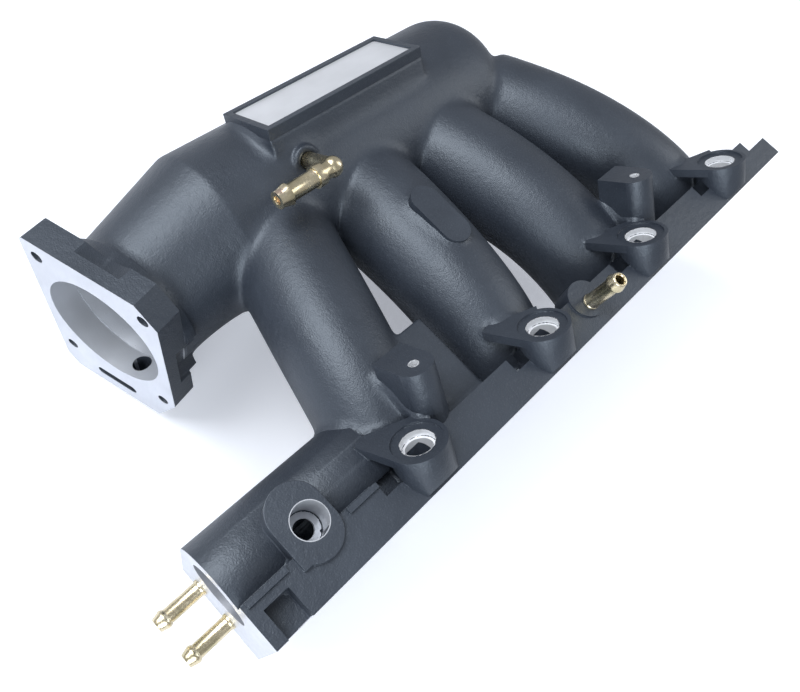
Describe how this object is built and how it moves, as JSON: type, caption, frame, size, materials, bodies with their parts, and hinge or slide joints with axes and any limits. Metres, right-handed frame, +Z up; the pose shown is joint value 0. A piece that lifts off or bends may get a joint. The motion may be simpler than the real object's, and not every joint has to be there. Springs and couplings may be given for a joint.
{
  "type": "intake manifold",
  "caption": "Cast intake manifold with a round plenum, curved runners to a long head flange, an angled throttle flange, injector seats, a coolant outlet housing and small hose fittings.",
  "frame": {"origin": "on the head mating face, midway between the second and third ports, at the height of the ports' centres", "axes": "+X along the engine away from the coolant housing, +Y away from the cylinder head, +Z up towards the injectors"},
  "size_m": [0.4677, 0.2369, 0.1572],
  "materials": {
    "cast_black": "satin black coating on a fine cast texture",
    "bare_aluminium": "brushed",
    "zinc_yellow": "yellow zinc plate, semi-gloss"
  },
  "bodies": {
    "root": {"plenum": "cast_black", "inlet_neck": "cast_black", "runner_1": "cast_black", "runner_2": "cast_black", "runner_3": "cast_black", "runner_4": "cast_black", "throttle_flange": "cast_black", "coolant_housing": "cast_black", "sensor_pad": "cast_black", "head_flange": "cast_black", "injector_seat_1": "cast_black", "injector_seat_2": "cast_black", "injector_seat_3": "cast_black", "injector_seat_4": "cast_black", "fuel_rail_post_1": "cast_black", "fuel_rail_post_2": "cast_black", "gusset_web": "cast_black", "runner_pad": "cast_black", "name_plate_frame": "cast_black", "elbow_boss": "cast_black", "name_plate": "bare_aluminium", "coolant_nipple_1": "zinc_yellow", "coolant_nipple_2": "zinc_yellow", "flange_nipple": "zinc_yellow", "vacuum_elbow": "zinc_yellow"}
  },
  "joints": []
}
